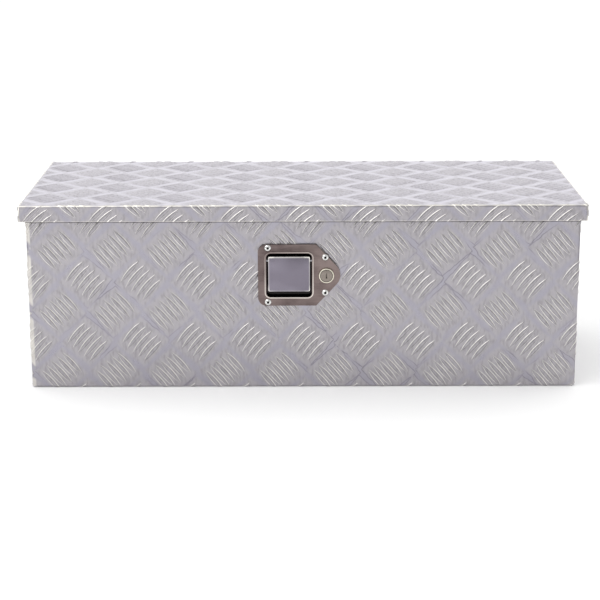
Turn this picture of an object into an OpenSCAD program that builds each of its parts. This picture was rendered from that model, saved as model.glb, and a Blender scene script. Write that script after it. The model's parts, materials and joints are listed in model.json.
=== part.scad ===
// Lidded tool box in tread sheet: paddle latch with key lock, piano hinge, gas struts, end handles.
// Frame: X along the width, front towards -Y, Z up, origin at the middle of the base.

/* [Box] */
// Width of the lid, end to end
lid_w = 760; // [620:10:1100]
// Depth of the lid, front to back
lid_d = 330; // [310:5:450]
// Height with the lid shut
box_h = 256; // [230:2:360]
// Thickness of the tread sheet, over its raised bars
sheet_t = 2; // [1.5:0.1:2.4]
// Outside radius of the folds
bend_r = 4; // [3:0.5:6]
// How far the lid stands out past the body on each side
reveal = 8; // [7.5:0.5:12]
// Height of the lid's turned-down lip
lip_h = 22.8; // [20:0.2:26]
// Width of the rim turned in along the front and the ends
rim_w = 18; // [14:1:18]
// Width of the rim turned in along the back
rear_rim_w = 8; // [6:1:9]
// Height of the rubber seal between rim and lid
seal_h = 8; // [6:0.5:10]

/* [Hinge] */
// Outside radius of the hinge knuckles
knuckle_r = 3; // [2.5:0.1:3.2]
// Radius of the hinge pin
hinge_pin_r = 1.5; // [1:0.1:1.6]
// Thickness of the hinge leaves
leaf_t = 1.2; // [1:0.1:1.4]
// Height of the leaf riveted to the body
leaf_h = 26; // [20:1:32]
// Number of knuckles along the hinge
knuckle_n = 24; // [12:2:36]
// Number of rivets that hold the hinge
hinge_rivet_n = 9; // [5:1:15]

/* [Latch] */
// Place of the recess along the front
latch_x = -19; // [-120:1:120]
// How far the middle of the latch lies below the top of the lid
latch_drop = 97.5; // [90:0.5:100]
// Height of the latch flange
flange_h = 84.6; // [80:0.2:90]
// Radius of the flange's square-end corners
flange_corner_r = 11; // [6:0.5:14]
// Width of the recess
dish_w = 61.3; // [58:0.1:64]
// Height of the recess
dish_h = 60.4; // [58:0.1:64]
// Corner radius of the recess
dish_r = 6; // [4:0.5:10]
// Depth of the recess behind the front of the flange
dish_depth = 15.3; // [14.5:0.1:16]
// Width of the paddle
paddle_w = 56; // [50:0.5:57]
// Height of the paddle
paddle_h = 48; // [44:0.5:50]
// Thickness of the pressed latch plates
plate_t = 1.5; // [1.2:0.1:1.8]
// Radius of the pin that the paddle turns on
paddle_pin_r = 2; // [1.5:0.1:2.2]
// Distance from the recess to the key lock
lock_dx = 50.2; // [46:0.1:56]
// Radius of the lock's bezel
lock_r = 10.2; // [9.5:0.1:11]

/* [Gas struts] */
// Distance of both strut ends from the hinge axis
strut_arm = 150; // [130:1:160]
// Angle at the hinge between the two strut ends with the lid shut
strut_shut_angle = 80; // [76:1:84]
// Angle the lid swings through
lid_swing = 85; // [60:1:90]
// Outside radius of the strut tube
tube_r = 7.5; // [6.5:0.1:7.5]
// Radius of the strut rod
rod_r = 3; // [2.5:0.1:3.5]
// Radius of the ball studs
ball_r = 5; // [4:0.1:5.2]

/* [Handles] */
// Height of the handle pivots above the base
handle_z = 165; // [120:5:180]
// Distance between the legs of the handle
handle_w = 78; // [70:2:110]
// How far the handle's grip hangs below its pivots
handle_drop = 42; // [34:1:55]
// Radius of the handle's wire
wire_r = 3; // [2.5:0.1:4]
// Radius of the rubber grip
grip_r = 5.5; // [5:0.1:6]

/* [Hidden] */
$fn = 64;
side_names = ["left", "right"];
fit = 0.05;                 // running clearance of pins in their holes
slack = 0.3;                // clearance between parts that pass each other
eps = 1;                    // cutters run past the faces they cut

body_w = lid_w - 2 * reveal;
body_d = lid_d - 2 * reveal;
front_y = -body_d / 2;
rear_y = body_d / 2;
lid_under = box_h - sheet_t;
rim_top = lid_under - seal_h;
hem_h = 8;                  // turned-down hem along the rim's inner edge
foot_w = 14;                // flange turned in under the front and the ends
rear_foot_w = 10;           // the same along the back
seam_in = 25;               // the wrap turns this far round onto the back

hinge_y = rear_y + knuckle_r + slack;
hinge_z = box_h - lip_h - 2.2;
hinge_len = lid_w - 40;
knuckle_len = hinge_len / knuckle_n;
rivet_r = 2.4;

latch_z = box_h - latch_drop;
gasket_t = 0.8;
flange_t = 2;
flange_back = front_y - gasket_t;
flange_front = flange_back - flange_t;
flange_left = 41.8;         // from the middle of the recess
slant_from = 36.5;
lock_flange_r = 18.75;
dish_wall = 1.2;
dish_back = flange_front + dish_depth;
latch_rivet_spots = [[-28.5, 37.4], [-28.5, -37.4], [lock_dx - 1.6, 24.4], [lock_dx - 1.6, -24.4]];

paddle_rise = 1.7;          // middle of the paddle above the middle of the recess
paddle_front = flange_front - 1;
pin_rise = 18.5;
pin_y = front_y + 5.5;
pin_z = latch_z + pin_rise;
arm_len = 10;
arm_half = 3;
hook_pin_r = 2.5;
hook_y = pin_y + 27;
hook_z = pin_z - 4;
hook_half = 2.5;
cheek_in = 7;
slot_half = 6;
striker_y = hook_y + 2.5;
striker_z = box_h - 44;
striker_r = 3;
striker_in = 12;

lock_x = latch_x + lock_dx;
lock_z = latch_z - 0.5;
barrel_r = 8.5;
plug_face_r = 8;
plug_r = 6;
barrel_back = front_y + 16;
cam_reach = lock_dx - cheek_in - plate_t - 1.7;
cam_t = 2;

strut_x = body_w / 2 - rim_w - 10;
lid_angle = 175.4;          // direction from the hinge axis to the lid's ball stud
body_angle = lid_angle + strut_shut_angle;
lid_ball = [hinge_y + strut_arm * cos(lid_angle), hinge_z + strut_arm * sin(lid_angle)];
body_ball = [hinge_y + strut_arm * cos(body_angle), hinge_z + strut_arm * sin(body_angle)];
shut_len = 2 * strut_arm * sin(strut_shut_angle / 2);
strut_tilt = atan2(lid_ball[1] - body_ball[1], lid_ball[0] - body_ball[0]);
socket_half = 6;
neck_end = 16;
tube_end = shut_len - neck_end - 22;
tube_wall = 1.2;
piston_len = 6;
rod_end = shut_len - neck_end - 20;
bracket_face = body_w / 2 - sheet_t - plate_t;
lid_tab_x = strut_x + 6.5;

plate_out = body_w / 2 + sheet_t;
handle_x = plate_out + 5;
eye_len = 14;
eye_r = 5;
eye_from = handle_w / 2 + 6;
handle_plate_w = handle_w + 76;
handle_plate_h = 44;

// ---- shared shapes ----

module round_rect(w, h, r) {
    union() {
        square([w, h - 2 * r], center = true);
        square([w - 2 * r, h], center = true);
        for (sx = [-1, 1], sy = [-1, 1])
            translate([sx * (w / 2 - r), sy * (h / 2 - r)]) circle(r = r);
    }
}

// A solid block with its standing corners rounded, and its top or bottom edges rounded too
module folded_block(w, d, low, high, r, round_low, round_high) {
    span = high - low;
    tall = span + (round_low ? 0 : span) + (round_high ? 0 : span);
    mid = (low + high) / 2 + (round_low ? span / 2 : 0) - (round_high ? span / 2 : 0);
    intersection() {
        translate([0, 0, low]) linear_extrude(span) round_rect(w, d, r);
        translate([0, d, mid]) rotate([90, 0, 0]) linear_extrude(2 * d) round_rect(w, tall, r);
        translate([-w, 0, mid]) rotate([90, 0, 90]) linear_extrude(2 * w) round_rect(d, tall, r);
    }
}

// A flat outline in X and Z made into a plate whose back face lies at y = back
module front_plate(back, t) {
    translate([0, back, 0]) rotate([90, 0, 0]) linear_extrude(t) children();
}

module along_x(x0, x1, y, z, r) {
    translate([x0, y, z]) rotate([0, 90, 0]) cylinder(r = r, h = x1 - x0);
}

module along_y(y0, y1, x, z, r) {
    translate([x, y0, z]) rotate([-90, 0, 0]) cylinder(r = r, h = y1 - y0);
}

// Blind rivet along +Z: domed head below zero, shank through the grip, set tail behind
module rivet(grip, head_r, head_h, tail_h) {
    dome_r = (head_r * head_r + head_h * head_h) / (2 * head_h);
    difference() {
        union() {
            intersection() {
                translate([0, 0, dome_r - head_h]) sphere(r = dome_r);
                translate([0, 0, -head_h - eps]) cylinder(r = head_r, h = head_h + eps);
            }
            cylinder(r = rivet_r, h = grip);
            translate([0, 0, grip]) cylinder(r = rivet_r + 0.9, h = tail_h);
        }
        translate([0, 0, -head_h - eps]) cylinder(r = 1, h = eps + head_h * 0.8);
    }
}

// A close coil along X, swept as a ring of short facets
module coil(length, coil_r, wire, turns) {
    steps = turns * 14;
    sides = 8;
    ring = [for (i = [0:steps], j = [0:sides - 1])
        let (a = 360 * i / 14, b = 360 * j / sides, rr = coil_r + wire * cos(b))
        [wire + (length - 2 * wire) * i / steps + wire * sin(b), rr * cos(a), rr * sin(a)]];
    walls = [for (i = [0:steps - 1], j = [0:sides - 1])
        let (k = (j + 1) % sides)
        [i * sides + j, (i + 1) * sides + j, (i + 1) * sides + k, i * sides + k]];
    start = [for (j = [0:sides - 1]) j];
    finish = [for (j = [sides - 1:-1:0]) steps * sides + j];
    polyhedron(points = ring, faces = concat(walls, [start], [finish]), convexity = 10);
}

// ---- body ----

module rim_opening_2d(grow) {
    translate([-body_w / 2 + rim_w - grow, front_y + rim_w - grow])
        square([body_w - 2 * rim_w + 2 * grow, body_d - rim_w - rear_rim_w + grow]);
}

module body_skin() {
    difference() {
        folded_block(body_w, body_d, 0, rim_top, bend_r, true, true);
        translate([0, 0, sheet_t]) linear_extrude(rim_top - 2 * sheet_t)
            round_rect(body_w - 2 * sheet_t, body_d - 2 * sheet_t, bend_r - sheet_t);
        translate([0, 0, -eps]) linear_extrude(sheet_t + 2 * eps)
            floor_2d();
        translate([0, 0, rim_top - sheet_t - eps]) linear_extrude(sheet_t + 2 * eps) rim_opening_2d(0);
    }
    translate([0, 0, rim_top - sheet_t - hem_h]) linear_extrude(hem_h + sheet_t / 2) difference() {
        rim_opening_2d(sheet_t);
        translate([0, eps]) rim_opening_2d(0);
        rim_opening_2d(0);
    }
}

// What the turned-in feet leave open underneath
module floor_2d() {
    translate([-body_w / 2 + foot_w, -body_d / 2 + foot_w])
        square([body_w - 2 * foot_w, body_d - foot_w - rear_foot_w]);
}

// The part of the skin that the back panel makes up
module rear_region(grow) {
    half = body_w / 2 - seam_in + grow;
    translate([-half, rear_y - rear_rim_w - grow, -eps]) cube([2 * half, rear_rim_w + 2 * grow, rim_top + 2 * eps]);
    translate([-half, rear_y - rear_foot_w - grow, -eps])
        cube([2 * half, rear_foot_w + 2 * grow, sheet_t + eps]);
}

module latch_cutout() {
    front_plate(front_y + sheet_t + eps, sheet_t + 2 * eps) {
        translate([latch_x, latch_z])
            round_rect(dish_w + 2 * dish_wall + 1, dish_h + 2 * dish_wall + 1, dish_r + dish_wall + 0.5);
        translate([lock_x, lock_z]) circle(r = barrel_r + 0.2);
        for (p = latch_rivet_spots) translate([latch_x + p[0], latch_z + p[1]]) circle(r = rivet_r + fit);
    }
}

module handle_rivet_spots() {
    for (sy = [-1, 1], sz = [-1, 1])
        translate([0, sy * (handle_plate_w / 2 - 8), handle_z - 5 + sz * 13]) children();
}

module bracket_rivet_spots() {
    for (sy = [-1, 1]) translate([0, body_ball[0] + sy * 14, body_ball[1] - 8]) children();
}

module end_holes() {
    for (s = [-1, 1]) {
        translate([s * body_w / 2, 0, 0]) handle_rivet_spots()
            rotate([0, 90, 0]) cylinder(r = rivet_r + fit, h = 12, center = true);
        translate([s * body_w / 2, 0, 0]) bracket_rivet_spots()
            rotate([0, 90, 0]) cylinder(r = rivet_r + fit, h = 12, center = true);
    }
}

module body_wrap() {
    color([0.69, 0.67, 0.71]) difference() {
        body_skin();
        rear_region(0);
        latch_cutout();
        end_holes();
    }
}

function hinge_rivet_x(i) = (i - (hinge_rivet_n - 1) / 2) * (hinge_len - 2 * knuckle_len) / (hinge_rivet_n - 1);

module rear_panel() {
    color([0.69, 0.67, 0.71]) difference() {
        intersection() {
            body_skin();
            rear_region(0);
        }
        for (i = [0:hinge_rivet_n - 1])
            along_y(rear_y - 5, rear_y + 5, hinge_rivet_x(i), hinge_z - leaf_h / 2 - 3, rivet_r + fit);
    }
}

module floor_pan() {
    color([0.66, 0.65, 0.68]) linear_extrude(sheet_t) floor_2d();
}

// ---- lid ----

module lid_shell() {
    color([0.80, 0.79, 0.84]) difference() {
        folded_block(lid_w, lid_d, box_h - lip_h, box_h, bend_r, false, true);
        translate([0, 0, box_h - lip_h - eps]) linear_extrude(lip_h - sheet_t + eps)
            round_rect(lid_w - 2 * sheet_t, lid_d - 2 * sheet_t, bend_r - sheet_t);
    }
}

module lid_seal() {
    seal_in = rim_w / 2 - 4;
    w = body_w - 2 * seal_in;
    low_y = front_y + seal_in;
    d = rear_y - low_y;
    color([0.08, 0.08, 0.08]) translate([0, low_y + d / 2, rim_top + slack])
        linear_extrude(seal_h - slack) difference() {
            round_rect(w, d, 6);
            round_rect(w - 16, d - 16, 3);
        }
}

// ---- hinge ----

module knuckles(first) {
    for (i = [first:2:knuckle_n - 1])
        along_x(-hinge_len / 2 + i * knuckle_len + 0.2, -hinge_len / 2 + (i + 1) * knuckle_len - 0.2,
            hinge_y, hinge_z, knuckle_r);
}

// One leaf: dir is 1 above the pin and -1 below it, and the leaf's outer face lies at y = face
module hinge_leaf(first, dir, face, height) {
    back = dir > 0 ? face - leaf_t : face;
    clear = knuckle_r + 0.4;
    difference() {
        union() {
            translate([-hinge_len / 2, back, dir > 0 ? hinge_z + clear : hinge_z - height])
                cube([hinge_len, leaf_t, height - clear]);
            for (i = [first:2:knuckle_n - 1])
                translate([-hinge_len / 2 + i * knuckle_len + 0.2, back, dir > 0 ? hinge_z : hinge_z - clear - eps])
                    cube([knuckle_len - 0.4, leaf_t, clear + eps]);
            knuckles(first);
        }
        along_x(-hinge_len / 2 - eps, hinge_len / 2 + eps, hinge_y, hinge_z, hinge_pin_r + fit);
    }
}

module hinge_leaf_body() {
    color([0.62, 0.62, 0.64]) difference() {
        hinge_leaf(0, -1, rear_y, leaf_h);
        for (i = [0:hinge_rivet_n - 1])
            along_y(rear_y - 5, rear_y + 5, hinge_rivet_x(i), hinge_z - leaf_h / 2 - 3, rivet_r + fit);
    }
}

module hinge_leaf_lid() {
    color([0.62, 0.62, 0.64]) hinge_leaf(1, 1, lid_d / 2 - sheet_t, lid_under - hinge_z - 1);
}

module hinge_pin() {
    color([0.5, 0.5, 0.52]) along_x(-hinge_len / 2, hinge_len / 2, hinge_y, hinge_z, hinge_pin_r);
}

module hinge_rivets() {
    color([0.75, 0.75, 0.77]) for (i = [0:hinge_rivet_n - 1])
        translate([hinge_rivet_x(i), rear_y + leaf_t, hinge_z - leaf_h / 2 - 3]) rotate([90, 0, 0])
            rivet(leaf_t + sheet_t, 4.5, 1.8, 1.8);
}

// ---- striker on the lid ----

module striker_bracket() {
    low = striker_z - 6;
    color([0.55, 0.55, 0.57]) difference() {
        union() {
            translate([latch_x - striker_in - plate_t, striker_y - 10, lid_under - plate_t])
                cube([2 * (striker_in + plate_t), 26, plate_t]);
            for (s = [-1, 1])
                translate([latch_x + s * (striker_in + plate_t / 2) - plate_t / 2, striker_y - 8, low])
                    cube([plate_t, 16, lid_under - low]);
        }
        along_x(latch_x - 30, latch_x + 30, striker_y, striker_z, striker_r + fit);
    }
}

module striker_bar() {
    reach = striker_in + plate_t + 1.5;
    color([0.7, 0.7, 0.72]) along_x(latch_x - reach, latch_x + reach, striker_y, striker_z, striker_r);
}

// ---- latch ----

module flange_outline() {
    h = flange_h / 2;
    r = flange_corner_r;
    t = lock_flange_r * cos(45);
    union() {
        polygon([
            [r - flange_left, h], [slant_from, h], [lock_dx + t, t], [lock_dx + t, -t],
            [slant_from, -h], [r - flange_left, -h]
        ]);
        translate([-flange_left, r - h]) square([2 * r, flange_h - 2 * r]);
        for (s = [-1, 1]) translate([r - flange_left, s * (h - r)]) circle(r = r);
        translate([lock_dx, 0]) circle(r = lock_flange_r);
    }
}

module flange_holes() {
    translate([lock_dx, lock_z - latch_z]) circle(r = barrel_r + 0.2);
    for (p = latch_rivet_spots) translate(p) circle(r = rivet_r + fit);
}

module dish_2d(grow) {
    round_rect(dish_w + 2 * grow, dish_h + 2 * grow, dish_r + grow);
}

module latch_dish() {
    rim_grow = 2.4;
    rim_rise = 1.3;
    color([0.60, 0.57, 0.58]) translate([latch_x, 0, latch_z]) difference() {
        union() {
            front_plate(flange_back, flange_t) difference() {
                flange_outline();
                flange_holes();
            }
            front_plate(flange_front + eps / 2, rim_rise + eps / 2) dish_2d(rim_grow);
            front_plate(dish_back + dish_wall, dish_depth + dish_wall) dish_2d(dish_wall);
        }
        front_plate(dish_back, dish_depth + 2 * rim_rise) dish_2d(0);
        front_plate(dish_back + dish_wall + eps, dish_wall + 2 * eps)
            translate([0, pin_rise - 6]) square([2 * slot_half, 22], center = true);
        along_x(-dish_w, dish_w, pin_y, pin_rise, paddle_pin_r + fit);
    }
}

module latch_gasket() {
    color([0.1, 0.1, 0.1]) translate([latch_x, 0, latch_z]) front_plate(front_y, gasket_t) difference() {
        flange_outline();
        flange_holes();
        dish_2d(dish_wall + 0.2);
    }
}

module latch_rivets() {
    color([0.85, 0.85, 0.87]) for (p = latch_rivet_spots)
        translate([latch_x + p[0], flange_front, latch_z + p[1]]) rotate([-90, 0, 0])
            rivet(flange_t + gasket_t + sheet_t, 4.6, 2.2, 1.8);
}

module latch_housing() {
    back = hook_y + 8;
    low = pin_rise - 19;
    high = pin_rise + 7;
    face = dish_back + dish_wall;
    color([0.5, 0.5, 0.52]) translate([latch_x, 0, latch_z]) difference() {
        union() {
            translate([-cheek_in - 10, face, low]) cube([2 * cheek_in + 20, plate_t, high - low]);
            for (s = [-1, 1])
                translate([s * (cheek_in + plate_t / 2) - plate_t / 2, face, low])
                    cube([plate_t, back - face, high - low]);
        }
        translate([-slot_half, face - eps, pin_rise - 17]) cube([2 * slot_half, plate_t + 2 * eps, 22]);
        along_x(-30, 30, hook_y, hook_z - latch_z, hook_pin_r + fit);
    }
}

module paddle() {
    half = paddle_w / 2;
    back = paddle_front + plate_t;
    top = paddle_rise + paddle_h / 2;
    low = paddle_rise - paddle_h / 2;
    color([0.54, 0.51, 0.57]) translate([latch_x, 0, latch_z]) difference() {
        union() {
            front_plate(back, plate_t) translate([0, paddle_rise]) round_rect(paddle_w, paddle_h, 2);
            translate([-half + 2, back - 0.2, top - plate_t]) cube([paddle_w - 4, 3.5, plate_t]);
            translate([-half + 2, back - 0.2, low]) cube([paddle_w - 4, 5.5, plate_t]);
            for (s = [-1, 1]) {
                x0 = s > 0 ? half - plate_t : -half;
                along_x(x0, x0 + plate_t, pin_y, pin_rise, 4.5);
                translate([x0, back - 0.2, pin_rise - 4.5]) cube([plate_t, pin_y - back + 0.2, 9]);
            }
            along_x(-arm_half, arm_half, pin_y, pin_rise, 4.2);
            translate([-arm_half, back - 0.2, pin_rise - 1.5]) cube([2 * arm_half, pin_y + arm_len - back, 3]);
        }
        along_x(-paddle_w, paddle_w, pin_y, pin_rise, paddle_pin_r + fit);
    }
}

module paddle_pin() {
    half = dish_w / 2 + dish_wall + 1.2;
    color([0.7, 0.7, 0.72]) {
        along_x(latch_x - half, latch_x + half, pin_y, pin_z, paddle_pin_r);
    }
}

module paddle_spring() {
    color([0.35, 0.35, 0.38]) translate([latch_x - 25, pin_y, pin_z]) coil(18, paddle_pin_r + 1.1, 0.6, 9);
}

module catch_hook() {
    nose_z = striker_z + striker_r + 1.5;
    nose_y = striker_y - striker_r - 1.1;
    tail_top = pin_z - 1.5 - 0.4;
    color([0.6, 0.6, 0.62]) difference() {
        translate([latch_x - hook_half, 0, 0]) rotate([90, 0, 90]) linear_extrude(2 * hook_half) union() {
            translate([hook_y, hook_z]) circle(r = 6);
            polygon([
                [hook_y - 18, tail_top], [hook_y - 8.5, tail_top], [hook_y - 12, hook_z + 14],
                [hook_y - 12, nose_z + 5], [nose_y - 2, nose_z + 5], [nose_y, nose_z],
                [hook_y - 6.5, nose_z], [hook_y - 6.5, hook_z + 18], [hook_y + 4, hook_z + 4],
                [hook_y, hook_z - 6], [hook_y - 18, hook_z - 2]
            ]);
        }
        along_x(latch_x - 10, latch_x + 10, hook_y, hook_z, hook_pin_r + fit);
    }
}

module hook_pin() {
    half = cheek_in + plate_t + 1.5;
    color([0.7, 0.7, 0.72]) along_x(latch_x - half, latch_x + half, hook_y, hook_z, hook_pin_r);
}

module hook_spring() {
    color([0.35, 0.35, 0.38]) translate([latch_x + hook_half + 0.4, hook_y, hook_z])
        coil(cheek_in - hook_half - 0.8, hook_pin_r + 0.9, 0.5, 3);
}

// ---- key lock ----

module lock_body() {
    head = 2.6;
    color([0.72, 0.71, 0.73]) difference() {
        union() {
            along_y(flange_front - head, flange_front, lock_x, lock_z, lock_r);
            along_y(flange_front - eps / 2, barrel_back, lock_x, lock_z, barrel_r);
        }
        along_y(flange_front - head - eps, flange_front, lock_x, lock_z, plug_face_r + fit);
        along_y(flange_front - eps, barrel_back + eps, lock_x, lock_z, plug_r + fit);
    }
}

module lock_nut() {
    color([0.6, 0.6, 0.62]) front_plate(front_y + sheet_t + 4, 4) translate([lock_x, lock_z]) difference() {
        circle(r = 12.5, $fn = 6);
        circle(r = barrel_r + fit);
    }
}

module lock_plug() {
    face = flange_front - 2.4;
    color([0.66, 0.65, 0.67]) difference() {
        union() {
            along_y(face, flange_front, lock_x, lock_z, plug_face_r);
            along_y(flange_front - eps / 2, barrel_back + 0.6, lock_x, lock_z, plug_r);
            translate([lock_x - 3.5, barrel_back, lock_z - 3.5]) cube([7, cam_t + 0.6, 7]);
        }
        translate([lock_x - 0.7, face - eps, lock_z - 3.6]) cube([1.4, 8 + eps, 7.2]);
        along_y(barrel_back - 4, barrel_back + 8, lock_x, lock_z, 1.6);
    }
}

module lock_cam() {
    y0 = barrel_back + 0.6;
    color([0.55, 0.55, 0.57]) difference() {
        front_plate(y0 + cam_t, cam_t) translate([lock_x, lock_z]) {
            circle(r = 8);
            translate([-6, -cam_reach + 6]) square([12, cam_reach - 6]);
            translate([0, -cam_reach + 6]) circle(r = 6);
        }
        translate([lock_x - 3.55, y0 - eps, lock_z - 3.55]) cube([7.1, cam_t + 2 * eps, 7.1]);
    }
}

module cam_screw() {
    y0 = barrel_back + 0.6 + cam_t;
    color([0.7, 0.7, 0.72]) difference() {
        union() {
            along_y(y0, y0 + 2.4, lock_x, lock_z, 5);
            along_y(barrel_back - 3.5, y0 + 1, lock_x, lock_z, 1.6);
        }
        translate([lock_x - 5, y0 + 1.6, lock_z - 0.5]) cube([10, 2, 1]);
    }
}

// ---- gas struts: side is -1 on the left and 1 on the right ----

// Children drawn along +X from the lower ball are laid along the shut strut
module along_strut(side) {
    translate([side * strut_x, body_ball[0], body_ball[1]])
        rotate([strut_tilt, 0, 0]) rotate([0, 0, 90]) children();
}

module shaft(from, to, r) {
    along_x(from, to, 0, 0, r);
}

module strut_tube(side) {
    color([0.06, 0.06, 0.07]) along_strut(side) difference() {
        shaft(neck_end, tube_end, tube_r);
        shaft(neck_end + 3, tube_end - 5, tube_r - tube_wall);
        shaft(tube_end - 6, tube_end + eps, rod_r + fit);
    }
}

module strut_rod(side) {
    color([0.82, 0.82, 0.85]) along_strut(side) shaft(shut_len - rod_end + piston_len, shut_len - neck_end, rod_r);
}

module strut_piston(side) {
    tip = shut_len - rod_end;
    color([0.3, 0.3, 0.32]) along_strut(side) shaft(tip, tip + piston_len, tube_r - tube_wall - fit);
}

// The hollow for a ball, open along +Z for the ball's shank
module ball_hollow() {
    rotate_extrude() union() {
        intersection() {
            circle(r = ball_r + 0.1);
            translate([0, -2 * ball_r]) square([2 * ball_r, 4 * ball_r]);
        }
        square([ball_r - 0.8, socket_half + eps]);
    }
}

// Ball socket at the foot of the strut, or at its head when it is tilted the other way
module ball_socket(side, y, z, tilt) {
    translate([side * strut_x, y, z]) rotate([tilt, 0, 0]) difference() {
        union() {
            along_x(-socket_half, socket_half, 0, 0, tube_r - 0.5);
            along_y(0, neck_end, 0, 0, 4.5);
        }
        rotate([0, 90 * side, 0]) ball_hollow();
    }
}

module tube_socket(side) {
    color([0.12, 0.12, 0.13]) ball_socket(side, body_ball[0], body_ball[1], strut_tilt);
}

module rod_socket(side) {
    color([0.12, 0.12, 0.13]) ball_socket(side, lid_ball[0], lid_ball[1], strut_tilt + 180);
}

// Ball stud: the ball at the strut's line, its shank out to the bracket at x = end_x
module stud(side, y, z, end_x) {
    color([0.75, 0.75, 0.77]) translate([side * strut_x, y, z]) rotate([0, 90 * side, 0])
        rotate_extrude() union() {
            intersection() {
                circle(r = ball_r);
                translate([0, -2 * ball_r]) square([2 * ball_r, 4 * ball_r]);
            }
            square([2.8, end_x - strut_x]);
        }
}

module body_stud(side) {
    stud(side, body_ball[0], body_ball[1], bracket_face);
}

module lid_stud(side) {
    stud(side, lid_ball[0], lid_ball[1], lid_tab_x);
}

module body_bracket(side) {
    x0 = min(side * bracket_face, side * (bracket_face + plate_t));
    color([0.5, 0.5, 0.52]) difference() {
        translate([x0, body_ball[0] - 20, body_ball[1] - 15]) cube([plate_t, 40, 24]);
        bracket_rivet_spots() rotate([0, 90, 0]) cylinder(r = rivet_r + fit, h = lid_w, center = true);
    }
}

module bracket_rivets(side) {
    color([0.75, 0.75, 0.77]) translate([side * body_w / 2, 0, 0]) bracket_rivet_spots()
        rotate([0, -90 * side, 0]) rivet(sheet_t + plate_t, 4.5, 1.8, 1.8);
}

module lid_bracket(side) {
    x0 = min(side * lid_tab_x, side * (lid_tab_x + plate_t));
    flange_x = side > 0 ? lid_tab_x - 24 : -lid_tab_x - plate_t;
    color([0.5, 0.5, 0.52]) union() {
        translate([x0, lid_ball[0] - 12, lid_ball[1] - 6]) cube([plate_t, 24, lid_under - lid_ball[1] + 6]);
        translate([flange_x, lid_ball[0] - 12, lid_under - plate_t]) cube([24 + plate_t, 24, plate_t]);
    }
}

// ---- end handles ----

module eye(y0, x) {
    along_y(y0, y0 + eye_len, x, handle_z, eye_r);
}

module handle_plate(side) {
    x_face = side * body_w / 2;
    x0 = side > 0 ? x_face : x_face - sheet_t;
    foot_x = min(side * (plate_out - 0.5), side * handle_x);
    color([0.7, 0.7, 0.72]) difference() {
        union() {
            translate([x0, 0, handle_z - 5]) rotate([90, 0, 90]) linear_extrude(sheet_t)
                round_rect(handle_plate_w, handle_plate_h, 8);
            for (s = [-1, 1]) {
                y0 = s > 0 ? eye_from : -eye_from - eye_len;
                eye(y0, side * handle_x);
                translate([foot_x, y0, handle_z - eye_r]) cube([handle_x - plate_out + 0.5, eye_len, 2 * eye_r]);
            }
        }
        along_y(-handle_w, handle_w, side * handle_x, handle_z, wire_r + fit);
        translate([x_face, 0, 0]) handle_rivet_spots()
            rotate([0, 90, 0]) cylinder(r = rivet_r + fit, h = 12, center = true);
    }
}

// A quarter bend of wire in the Y-Z plane, from angle a to a + 90
module bend(y, z, a) {
    translate([0, y, z]) rotate([0, 90, 0]) rotate([0, 0, a]) rotate_extrude(angle = 90)
        translate([8, 0]) circle(r = wire_r);
}

module handle_bail(side) {
    leg_y = handle_w / 2 - wire_r;
    low_z = handle_z - handle_drop;
    end_y = eye_from + eye_len + 1;
    color([0.75, 0.75, 0.77]) translate([side * handle_x, 0, 0]) union() {
        for (s = [-1, 1]) {
            along_y(s > 0 ? leg_y + 8 : -end_y, s > 0 ? end_y : -leg_y - 8, 0, handle_z, wire_r);
            translate([0, s * leg_y, low_z + 8]) cylinder(r = wire_r, h = handle_drop - 16);
        }
        bend(leg_y + 8, handle_z - 8, 180);
        bend(-leg_y - 8, handle_z - 8, 90);
        bend(leg_y - 8, low_z + 8, 0);
        bend(-leg_y + 8, low_z + 8, -90);
        along_y(-leg_y + 8, leg_y - 8, 0, low_z, wire_r);
    }
}

module handle_grip(side) {
    half = handle_w / 2 - wire_r - 9;
    color([0.08, 0.08, 0.08]) difference() {
        along_y(-half, half, side * handle_x, handle_z - handle_drop, grip_r);
        along_y(-half - eps, half + eps, side * handle_x, handle_z - handle_drop, wire_r + fit);
    }
}

module handle_rivets(side) {
    color([0.75, 0.75, 0.77]) translate([side * plate_out, 0, 0]) handle_rivet_spots()
        rotate([0, -90 * side, 0]) rivet(2 * sheet_t, 4.5, 1.8, 1.8);
}

// ---- one line for each node ----

body_wrap();
rear_panel();
floor_pan();
lid_shell();
lid_seal();
hinge_leaf_body();
hinge_leaf_lid();
hinge_pin();
hinge_rivets();
striker_bracket();
striker_bar();
latch_dish();
latch_gasket();
latch_rivets();
latch_housing();
paddle();
paddle_pin();
paddle_spring();
catch_hook();
hook_pin();
hook_spring();
lock_body();
lock_nut();
lock_plug();
lock_cam();
cam_screw();
for (i = [0, 1]) {
    side = 2 * i - 1;
    tag = str("_", side_names[i]);
    strut_tube(side);
    strut_rod(side);
    strut_piston(side);
    tube_socket(side);
    rod_socket(side);
    body_stud(side);
    lid_stud(side);
    body_bracket(side);
    lid_bracket(side);
    bracket_rivets(side);
    handle_plate(side);
    handle_bail(side);
    handle_grip(side);
    handle_rivets(side);
}
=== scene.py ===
import json
import math

import bmesh
import bpy
from mathutils import Matrix, Vector


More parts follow.
